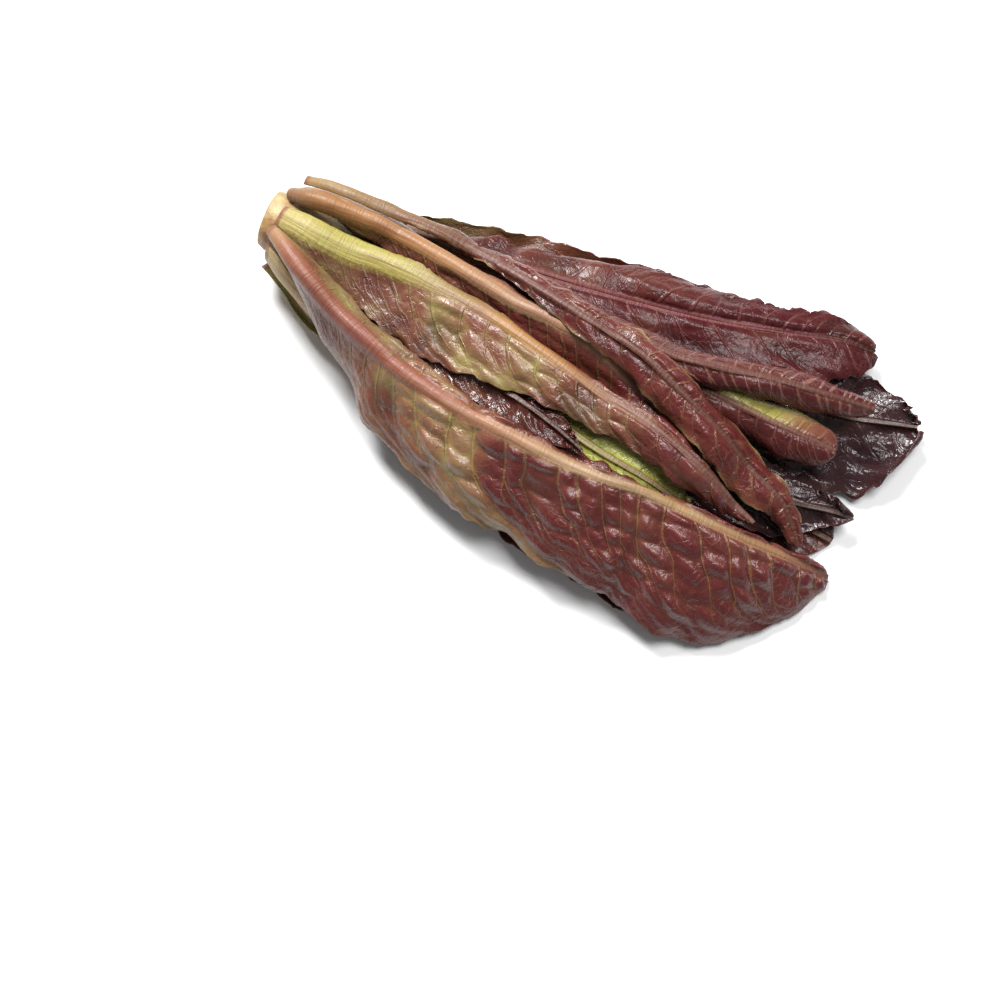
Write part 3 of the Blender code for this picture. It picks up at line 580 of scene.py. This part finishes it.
def leaf_grid(leaf, look):
    """The leaf's sheet as a grid of points, the rib's share of its height, the height of the
    relief, and the values that its material reads."""
    draw = np.random.default_rng(leaf.seed)
    fine = np.random.default_rng(leaf.seed + 100)
    places = 1 - (1 - np.linspace(0, 1, look.rows + 1)) ** 1.15
    rib, length = rib_line(leaf.path, places)
    ahead = np.gradient(rib, axis=0)
    ahead /= np.linalg.norm(ahead, axis=1, keepdims=True)
    aside = np.cross((0, 0, 1), ahead)
    aside /= np.linalg.norm(aside, axis=1, keepdims=True)
    upward = np.cross(ahead, aside)
    reach = rib_reach(leaf, places)[:, None]
    run = (places * length)[:, None]

    halves = []
    for values, bends, tones, roll in ((leaf.right, leaf.right_bend, look.right, -leaf.root_roll),
                                       (leaf.left, leaf.left_bend, look.left, leaf.root_roll)):
        widths = half_width(values, leaf.tip_start, places)
        shares = side_shares(leaf, look, places, widths)
        distance = shares * widths[:, None]
        torn = torn_margin(look, shares, places * length, widths, fine)
        out, rise, wave = leaf_side(leaf, places, torn, widths, bends, roll, draw)
        runs = np.broadcast_to(run, shares.shape)
        root, count, gap = vein_pattern(look, runs, distance, shares, widths, length, fine)
        clear = ease((distance / reach - 0.55) / 0.9)
        height, net = relief(look, runs, root, distance, count, shares, clear,
                             places[:, None], fine)
        tone = np.interp(root / length, [t[0] for t in tones], [t[1] for t in tones])
        tone = tone + look.mottle * 0.5 * smooth_noise(root, distance, 22, fine)
        tone = tone - look.green_edge * shares ** 8
        halves.append(dict(out=out, rise=rise, wave=wave, distance=distance, count=count, gap=gap,
                           height=height, net=net, tone=tone, shares=shares))
    right, left = halves

    middle = np.zeros((len(places), 1))
    out = mirrored(-right["out"], left["out"], middle)
    rise = mirrored(right["rise"], left["rise"], middle)
    wave = mirrored(right["wave"], left["wave"], middle)
    sheet = rib[:, None, :] + out[:, :, None] * aside[:, None, :]
    sheet += rise[:, :, None] * upward[:, None, :]
    sheet += wave[:, :, None] * surface_normals(sheet)

    distance = mirrored(right["distance"], left["distance"], middle)
    taper = np.clip(0.5 + places * 9, 0, 1) * (1 - 0.85 * places)
    bump = RIB_SHOWN * taper[:, None] * np.exp(-1.4 * (distance / reach) ** 3)
    height = softened(mirrored(right["height"], left["height"], middle))
    values = {
        "flat": (np.broadcast_to(run, bump.shape),
                 mirrored(-right["distance"], left["distance"], middle),
                 np.broadcast_to(places[:, None], bump.shape)),
        "lines": (mirrored(right["count"], left["count"], middle),
                  mirrored(right["gap"], left["gap"], middle + look.vein_gap),
                  distance / reach),
        "tone": (mirrored(right["tone"], left["tone"], right["tone"][:, :1]),
                 softened(mirrored(right["net"], left["net"], middle)),
                 np.zeros_like(bump)),
        # the margin's shares, and the relief's height, which the material turns into painted shade
        "edge": (mirrored(right["shares"], left["shares"], middle),
                 mirrored(right["height"], left["height"], middle),
                 np.zeros_like(bump)),
    }
    return sheet, bump, height, values


def leaf_faces(leaf, sheet, bump, height):
    """The smooth face and the ribbed face of the leaf."""
    side = -1.0 if leaf.rib_below else 1.0
    normals = surface_normals(sheet)
    columns = np.abs(np.linspace(-1, 1, sheet.shape[1]))[None, :]
    blade = BLADE * (1 - MARGIN * columns ** 4)
    smooth = sheet + side * height[:, :, None] * normals
    ribbed = smooth + side * (blade + leaf.rib_height * bump)[:, :, None] * normals
    return smooth, ribbed


def filled_grid(grid, fine=2):
    """Points spread over a grid's squares."""
    steps = (np.arange(fine) + 0.5) / fine
    s, t = np.meshgrid(steps, steps, indexing="ij")
    s, t = s.ravel()[:, None, None, None], t.ravel()[:, None, None, None]
    a, b, c, d = grid[:-1, :-1], grid[1:, :-1], grid[1:, 1:], grid[:-1, 1:]
    inside = (a * (1 - s) + b * s) * (1 - t) + (d * (1 - s) + c * s) * t
    return np.vstack([inside.reshape(-1, 3), grid.reshape(-1, 3)])


class HeightMap:
    """Heights of what has been laid down so far, cell by cell."""

    def __init__(self):
        self.shape = (int((MAP_X[1] - MAP_X[0]) / CELL), int((MAP_Y[1] - MAP_Y[0]) / CELL))
        self.top = np.zeros(self.shape)

    def cells(self, points):
        column = ((points[:, 0] - MAP_X[0]) / CELL).astype(int)
        row = ((points[:, 1] - MAP_Y[0]) / CELL).astype(int)
        return column, row

    def lowest(self, points):
        low = np.full(self.shape, np.inf)
        np.minimum.at(low, self.cells(points), points[:, 2])
        return low

    def add(self, points):
        np.maximum.at(self.top, self.cells(points), points[:, 2])


def shifted(values, steps, axis, fill):
    """The map moved by some cells, filled in at its edge."""
    moved = np.full_like(values, fill)
    source = [slice(None), slice(None)]
    target = [slice(None), slice(None)]
    source[axis] = slice(max(0, -steps), values.shape[axis] - max(0, steps))
    target[axis] = slice(max(0, steps), values.shape[axis] - max(0, -steps))
    moved[tuple(target)] = values[tuple(source)]
    return moved


def bridged(need):
    """A smooth map that is nowhere below the needed lift. Cells without need hold -inf."""
    for axis in (0, 1):
        need = np.max([shifted(need, k, axis, -np.inf) for k in range(-SPREAD, SPREAD + 1)], axis=0)
    weight = np.isfinite(need).astype(float)
    total = np.where(weight > 0, need, 0.0)
    for reach in (2, 2, SPREAD - 4):
        for axis in (0, 1):
            total, weight = (
                np.sum([shifted(part, k, axis, 0.0) for k in range(-reach, reach + 1)], axis=0)
                for part in (total, weight))
    return np.where(weight > 0, total / np.maximum(weight, 1e-9), 0.0)


def read_map(values, points):
    """Values of a map at points, blended between the cells' middles."""
    x = np.clip((points[..., 0] - MAP_X[0]) / CELL - 0.5, 0, values.shape[0] - 1.001)
    y = np.clip((points[..., 1] - MAP_Y[0]) / CELL - 0.5, 0, values.shape[1] - 1.001)
    i, j = x.astype(int), y.astype(int)
    x, y = x - i, y - j
    near = values[i, j] * (1 - y) + values[i, j + 1] * y
    far = values[i + 1, j] * (1 - y) + values[i + 1, j + 1] * y
    return near * (1 - x) + far * x


def lift_needed(heights, points):
    """How far each cell's points must rise to clear what lies below them."""
    low = heights.lowest(points)
    return np.where(np.isfinite(low), heights.top + GAP - low, -np.inf)


def lay_leaf(leaf, look, heights):
    """Settles a leaf on the map and returns its two faces and its material's values."""
    sheet, bump, height, values = leaf_grid(leaf, look)
    floor = -leaf.settle
    for _ in range(4):
        faces = np.vstack([filled_grid(face) for face in leaf_faces(leaf, sheet, bump, height)])
        lift = np.maximum(bridged(lift_needed(heights, faces)), floor)
        sheet[:, :, 2] += read_map(lift, sheet)
        floor = 0.0
    smooth, ribbed = leaf_faces(leaf, sheet, bump, height)
    heights.add(np.vstack([filled_grid(smooth), filled_grid(ribbed)]))
    if leaf.grounded:
        ribbed[:, :, 2] *= ease(ribbed[:, :, 2] / PRESSED)
    return smooth, ribbed, values


def grid_quads(rows, columns, first, flipped):
    """A grid's squares as point numbers, facing down if flipped."""
    index = first + np.arange(rows * columns).reshape(rows, columns)
    corners = [index[:-1, :-1], index[1:, :-1], index[1:, 1:], index[:-1, 1:]]
    if flipped:
        corners.reverse()
    return np.stack(corners, -1).reshape(-1, 4)


def rim_quads(rows, columns):
    """Squares that join the top grid's outline to that of the grid numbered after it."""
    index = np.arange(rows * columns).reshape(rows, columns)
    loop = np.concatenate([index[:-1, 0], index[-1, :-1], index[:0:-1, -1], index[0, :0:-1]])
    after = np.roll(loop, -1)
    below = rows * columns
    return np.stack([loop, loop + below, after + below, after], -1)


def write_values(mesh, name, parts):
    """Stores three numbers for each point, for a material to read."""
    attribute = mesh.attributes.new(name, "FLOAT_VECTOR", "POINT")
    attribute.data.foreach_set("vector", np.stack(parts, -1).astype(np.float32).ravel())


def add_mesh(name, points, quads, material):
    """A smooth-shaded mesh object, moved from the head's own frame to the solids' frame."""
    mesh = bpy.data.meshes.new(name)
    mesh.from_pydata(((points + HEAD_PLACE) * MM).tolist(), [], quads.tolist())
    mesh.materials.append(material)
    mesh.shade_smooth()
    thing = bpy.data.objects.new(name, mesh)
    bpy.context.scene.collection.objects.link(thing)
    return thing


def dress(thing, node):
    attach(thing, "root")
    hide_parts(node)


def make_leaf(leaf, heights):
    look = LOOKS[leaf.name]
    smooth, ribbed, values = lay_leaf(leaf, look, heights)
    top, bottom = (smooth, ribbed) if leaf.rib_below else (ribbed, smooth)
    rows, columns = smooth.shape[:2]
    count = rows * columns
    points = np.vstack([top.reshape(-1, 3), bottom.reshape(-1, 3)])
    quads = np.vstack([grid_quads(rows, columns, 0, False), grid_quads(rows, columns, count, True),
                       rim_quads(rows, columns)])
    thing = add_mesh(leaf.name + "_look", points, quads, leaf_material(leaf, look))
    inner = np.repeat((1.0, 0.0) if leaf.rib_below else (0.0, 1.0), count)
    for name, parts in values.items():
        doubled = [np.tile(part.ravel(), 2) for part in parts]
        if name == "tone":
            doubled[2] = inner
        write_values(thing.data, name, doubled)
    dress(thing, leaf.name)


def paint(colour, light=LIT_SHARE):
    """A colour as it looks in the light of the scene, as the linear colour that a shader takes."""
    shares = [part / 255 for part in colour]
    linear = [s / 12.92 if s <= 0.04045 else ((s + 0.055) / 1.055) ** 2.4 for s in shares]
    return (*(light * part for part in linear), 1.0)


class Nodes:
    """Short ways to build one material's node tree."""

    def __init__(self, name, roughness):
        self.material = bpy.data.materials.new(name)
        self.material.use_nodes = True
        self.tree = self.material.node_tree
        self.shader = self.tree.nodes["Principled BSDF"]
        self.shader.inputs["Roughness"].default_value = roughness

    def put(self, socket, value):
        if isinstance(value, bpy.types.NodeSocket):
            self.tree.links.new(value, socket)
        else:
            socket.default_value = value

    def add(self, kind, **settings):
        node = self.tree.nodes.new(kind)
        for name, value in settings.items():
            setattr(node, name, value)
        return node

    def math(self, operation, *values):
        node = self.add("ShaderNodeMath", operation=operation)
        for socket, value in zip(node.inputs, values):
            self.put(socket, value)
        return node.outputs[0]

    def plus(self, first, second):
        return self.math("ADD", first, second)

    def minus(self, first, second):
        return self.math("SUBTRACT", first, second)

    def times(self, first, second):
        return self.math("MULTIPLY", first, second)

    def absolute(self, value):
        return self.math("ABSOLUTE", value)

    def rise(self, value, low, high, start, end):
        """start below low, end above high, and a soft step between."""
        node = self.add("ShaderNodeMapRange", interpolation_type="SMOOTHSTEP")
        for socket, number in zip(node.inputs, (value, low, high, start, end)):
            self.put(socket, number)
        return node.outputs[0]

    def mix(self, share, first, second):
        node = self.add("ShaderNodeMix", data_type="RGBA", clamp_result=True)
        for number, value in ((0, share), (6, first), (7, second)):
            self.put(node.inputs[number], value)
        return node.outputs[2]

    def ramp(self, value, stops):
        node = self.add("ShaderNodeValToRGB")
        elements = node.color_ramp.elements
        while len(elements) < len(stops):
            elements.new(0.5)
        for element, (place, colour) in zip(elements, stops):
            element.position = place
            element.color = paint(colour)
        self.put(node.inputs[0], value)
        return node.outputs[0]

    def read(self, name):
        """The three values stored at each point under a name."""
        attribute = self.add("ShaderNodeAttribute", attribute_name=name)
        parts = self.add("ShaderNodeSeparateXYZ")
        self.put(parts.inputs[0], attribute.outputs["Vector"])
        return parts.outputs

    def spot(self, x, y):
        node = self.add("ShaderNodeCombineXYZ")
        for socket, value in zip(node.inputs, (x, y)):
            self.put(socket, value)
        return node.outputs[0]

    def noise(self, vector, scale, detail=2.0, roughness=0.5):
        node = self.add("ShaderNodeTexNoise")
        for name, value in (("Vector", vector), ("Scale", scale), ("Detail", detail),
                            ("Roughness", roughness)):
            self.put(node.inputs[name], value)
        return node.outputs[0]

    def borders(self, vector, scale):
        """Distance to the nearest border of irregular cells."""
        node = self.add("ShaderNodeTexVoronoi", feature="DISTANCE_TO_EDGE")
        self.put(node.inputs["Vector"], vector)
        self.put(node.inputs["Scale"], scale)
        return node.outputs["Distance"]

    def relief(self, height):
        """Bump from a height in millimetres."""
        node = self.add("ShaderNodeBump")
        self.put(node.inputs["Distance"], MM)
        self.put(node.inputs["Height"], height)
        self.put(self.shader.inputs["Normal"], node.outputs[0])


def leaf_material(leaf, look):
    """A waxy leaf: green to red blade, paler veins, a fleshy rib, and a rusty cut end."""
    nodes = Nodes(leaf.name, look.roughness)
    run, out, place = nodes.read("flat")
    count, gap, rib_share = nodes.read("lines")
    tone, net, inner = nodes.read("tone")
    rim, relief_shade, _ = nodes.read("edge")

    flat = nodes.spot(run, out)
    cloud = nodes.noise(flat, 0.06, 3.0)
    speckle = nodes.noise(flat, 0.55, 3.0, 0.6)
    grain = nodes.noise(flat, 2.2, 2.0)

    # Side veins, which part near the margin, and the fine veins between them
    middle = nodes.absolute(nodes.minus(nodes.math("FRACT", count), 0.5))
    parting = nodes.math("MAXIMUM", nodes.minus(nodes.plus(rim, cloud), 1.0), 0.0)
    beside = nodes.minus(nodes.minus(0.5, middle), parting)
    away = nodes.times(nodes.absolute(beside), gap)
    thin = nodes.rise(nodes.absolute(out), 6.0, 45.0, 1.0, 0.45)
    vein = nodes.rise(nodes.math("DIVIDE", away, thin), 0.2, 0.8, 1.0, 0.0)
    wobble = nodes.times(nodes.noise(flat, 0.12, 2.0), 9.0)
    bent = nodes.spot(nodes.plus(run, wobble), nodes.minus(out, wobble))
    fibre = nodes.times(nodes.rise(nodes.borders(bent, 0.22), 0.01, 0.08, 1.0, 0.0),
                        nodes.rise(cloud, 0.4, 0.6, 0.2, 1.0))

    # Blade, from green to red in soft patches, with its veins and painted shade in its hollows
    blotch = nodes.times(nodes.minus(cloud, 0.5), 2 * look.mottle)
    spots = nodes.times(nodes.minus(speckle, 0.5), 0.5 * look.mottle)
    redness = nodes.plus(nodes.plus(tone, blotch), spots)
    blade = nodes.ramp(redness, ((0.0, look.green), (0.3, OLIVE), (0.55, BROWN), (0.95, look.red)))
    vein_colour = nodes.ramp(redness, ((0.25, VEIN_GREEN), (0.75, look.vein)))
    colour = nodes.mix(nodes.times(fibre, 0.1), blade, vein_colour)
    creased = nodes.rise(redness, 0.55, 0.9, look.netted, 0.22)
    colour = nodes.mix(nodes.times(net, creased), colour, vein_colour)
    fading = nodes.times(nodes.rise(rim, 0.45, 0.85, look.veined, 0.15 * look.veined),
                         nodes.rise(place, 0.08, 0.35, 0.25, 1.0))
    colour = nodes.mix(nodes.times(vein, fading), colour, vein_colour)
    # Painted shade: the lower the relief at a point, the more the blade turns dark brown
    colour = nodes.mix(nodes.rise(relief_shade, -0.6, 0.9, 0.5, 0.0), colour, paint(HOLLOW_SHADE))

    # Rib, with marks across it and long streaks
    across = nodes.spot(nodes.times(run, 0.8), nodes.times(out, 0.12))
    ladder = nodes.noise(across, 1.0, 3.0, 0.6)
    lengthwise = nodes.spot(nodes.times(run, 0.03), nodes.times(out, 0.55))
    streak = nodes.noise(lengthwise, 1.0, 3.0, 0.6)
    rib = nodes.ramp(place, look.rib)
    rib = nodes.mix(nodes.rise(ladder, 0.35, 0.7, 0.0, 0.35), rib, paint(OLIVE))
    rib = nodes.mix(nodes.rise(streak, 0.42, 0.68, 0.0, 0.4), rib, blade)
    frayed = nodes.plus(rib_share, nodes.times(speckle, 0.4))
    flesh = nodes.rise(frayed, 0.75, 1.35, 1.0, 0.0)
    colour = nodes.mix(flesh, colour, rib)

    # Cut end, and the darker face without the rib
    cut = nodes.rise(place, 0.004, 0.012, 1.0, 0.0)
    colour = nodes.mix(cut, colour, paint(RUSTY_CUT))
    colour = nodes.mix(nodes.times(inner, 0.35), colour, paint(INNER_SHADE))
    nodes.put(nodes.shader.inputs["Base Color"], colour)

    shine = nodes.plus(nodes.rise(speckle, 0.3, 0.7, -0.07, 0.09), look.roughness)
    shine = nodes.plus(shine, nodes.times(flesh, 0.16))
    nodes.put(nodes.shader.inputs["Roughness"], shine)

    # Veins and wrinkles too fine for the grid, in millimetres
    wrinkle = nodes.noise(flat, 0.17, 3.0, 0.5)
    wrinkle = nodes.absolute(nodes.minus(nodes.times(wrinkle, 2.0), 1.0))
    ridge = nodes.times(nodes.times(vein, nodes.rise(rim, 0.4, 0.8, 1.0, 0.1)),
                        nodes.rise(inner, 0.0, 1.0, 0.35, -0.25))
    fine = nodes.plus(nodes.times(fibre, -0.1), nodes.times(grain, 0.06))
    folds = nodes.times(wrinkle, 0.42 + 0.2 * look.crinkle)
    blade_height = nodes.plus(nodes.plus(ridge, fine), folds)
    rib_height = nodes.plus(nodes.times(ladder, 0.45), nodes.times(streak, 0.6))
    body = nodes.add("ShaderNodeMix", data_type="FLOAT")
    for number, value in ((0, flesh), (2, blade_height), (3, rib_height)):
        nodes.put(body.inputs[number], value)
    nodes.relief(body.outputs[0])

    nodes.shader.inputs["Specular IOR Level"].default_value = look.gloss
    nodes.shader.inputs["Subsurface Weight"].default_value = 0.08
    nodes.shader.inputs["Subsurface Radius"].default_value = (1.0, 0.5, 0.25)
    nodes.shader.inputs["Subsurface Scale"].default_value = 0.002
    return nodes.material


def stem_material():
    """Cream flesh with rusty brown patches, and a bumpy grain."""
    nodes = Nodes("stem", 0.5)
    spot = nodes.add("ShaderNodeTexCoord").outputs["Object"]
    rust = nodes.noise(spot, 90.0, 4.0, 0.6)
    grain = nodes.noise(spot, 700.0, 3.0, 0.6)
    colour = nodes.ramp(rust, ((0.35, (206, 190, 132)), (0.5, (188, 150, 96)),
                               (0.65, (146, 98, 60))))
    nodes.put(nodes.shader.inputs["Base Color"], colour)
    nodes.relief(nodes.plus(nodes.times(rust, 0.8), nodes.times(grain, 0.3)))
    return nodes.material


def stem_profile():
    """Half outline of the stem: distance from its axis and distance from the cut face."""
    shares = ((0.0, 1.0), (0.2, 0.97), (0.5, 0.84), (0.76, 0.66), (0.96, 0.46), (1.06, 0.26),
              (1.03, 0.1), (0.95, 0.0), (0.0, 0.0))
    return np.array([(radius * STEM_RADIUS, length * STEM_LENGTH) for radius, length in shares])


def make_stem(heights):
    """The turned stem, uneven all round, resting on the leaves under it."""
    draw = np.random.default_rng(50)
    profile = stem_profile()
    run = np.concatenate([[0], np.cumsum(np.linalg.norm(np.diff(profile, axis=0), axis=1))])
    steps = np.linspace(0, run[-1], STEM_ROWS)
    radius, length = (np.interp(steps, run, profile[:, axis]) for axis in (0, 1))
    angles = np.arange(STEM_SIDES) * 2 * math.pi / STEM_SIDES
    lumps = smooth_noise(*np.meshgrid(steps, 8 * np.cos(angles), indexing="ij"), 5.0, draw)
    wide = radius[:, None] * (1 - 0.05 * np.abs(lumps))
    grid = np.stack([STEM_END + np.broadcast_to(length[:, None], wide.shape),
                     STEM_Y + wide * np.cos(angles), wide * np.sin(angles)], -1)
    need = lift_needed(heights, grid.reshape(-1, 3))
    grid[:, :, 2] += need.max()
    heights.add(filled_grid(np.concatenate([grid, grid[:, :1]], axis=1)))

    index = np.arange(STEM_ROWS * STEM_SIDES).reshape(STEM_ROWS, STEM_SIDES)
    beside = np.roll(index, -1, axis=1)
    quads = np.stack([index[:-1], index[1:], beside[1:], beside[:-1]], -1).reshape(-1, 4)
    thing = add_mesh("stem_look", grid.reshape(-1, 3), quads, stem_material())
    dress(thing, "stem")


def make_floor():
    bpy.ops.mesh.primitive_plane_add(size=6.0)
    floor = bpy.context.object
    floor.name = "floor"
    nodes = Nodes("floor", 0.6)
    nodes.shader.inputs["Base Color"].default_value = paint((240, 240, 240), 1.0)
    floor.data.materials.append(nodes.material)


def add_light(name, place, size, watts):
    """A square soft box that faces the head."""
    light = bpy.data.lights.new(name, "AREA")
    light.shape = "SQUARE"
    light.size = size
    light.energy = watts
    lamp = bpy.data.objects.new(name, light)
    lamp.location = place
    lamp.rotation_euler = (-Vector(place)).to_track_quat("-Z", "Y").to_euler()
    bpy.context.scene.collection.objects.link(lamp)


def make_lights():
    add_light("key_light", (-0.85, 0.75, 1.2), 0.55, 46.0)
    add_light("top_light", (0.35, 0.5, 1.7), 0.8, 26.0)
    world = bpy.data.worlds.new("studio")
    world.use_nodes = True
    world.node_tree.nodes["Background"].inputs["Color"].default_value = (1.0, 1.0, 1.0, 1.0)
    world.node_tree.nodes["Background"].inputs["Strength"].default_value = 0.22
    bpy.context.scene.world = world
    bpy.context.scene.view_settings.view_transform = "Standard"


def make_camera():
    camera = bpy.data.cameras.new("camera")
    camera.sensor_width = SENSOR
    camera.lens = SENSOR * VIEW_DISTANCE / VIEW_PIXEL / 1000
    camera.clip_start = 0.01
    eye = bpy.data.objects.new("camera", camera)
    back = Vector((math.sin(VIEW_AZIMUTH) * math.cos(VIEW_ELEVATION),
                   -math.cos(VIEW_AZIMUTH) * math.cos(VIEW_ELEVATION), math.sin(VIEW_ELEVATION)))
    eye.location = Vector((HEAD_PLACE + VIEW_TARGET) * MM) + VIEW_DISTANCE * back
    eye.rotation_euler = back.to_track_quat("Z", "Y").to_euler()
    bpy.context.scene.collection.objects.link(eye)
    bpy.context.scene.camera = eye


def head_place():
    """How far the head's own frame is moved in the solids' frame, read from the stem."""
    low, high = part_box("stem")
    return np.array([low.x / MM - STEM_END, (low.y + high.y) / 2 / MM - STEM_Y, 0.0])


HEAD_PLACE = head_place()
layers = HeightMap()
for one in UNDER_LEAVES:
    make_leaf(one, layers)
make_stem(layers)
for one in HEART_LEAVES + OVER_LEAVES:
    make_leaf(one, layers)
make_floor()
make_lights()
make_camera()
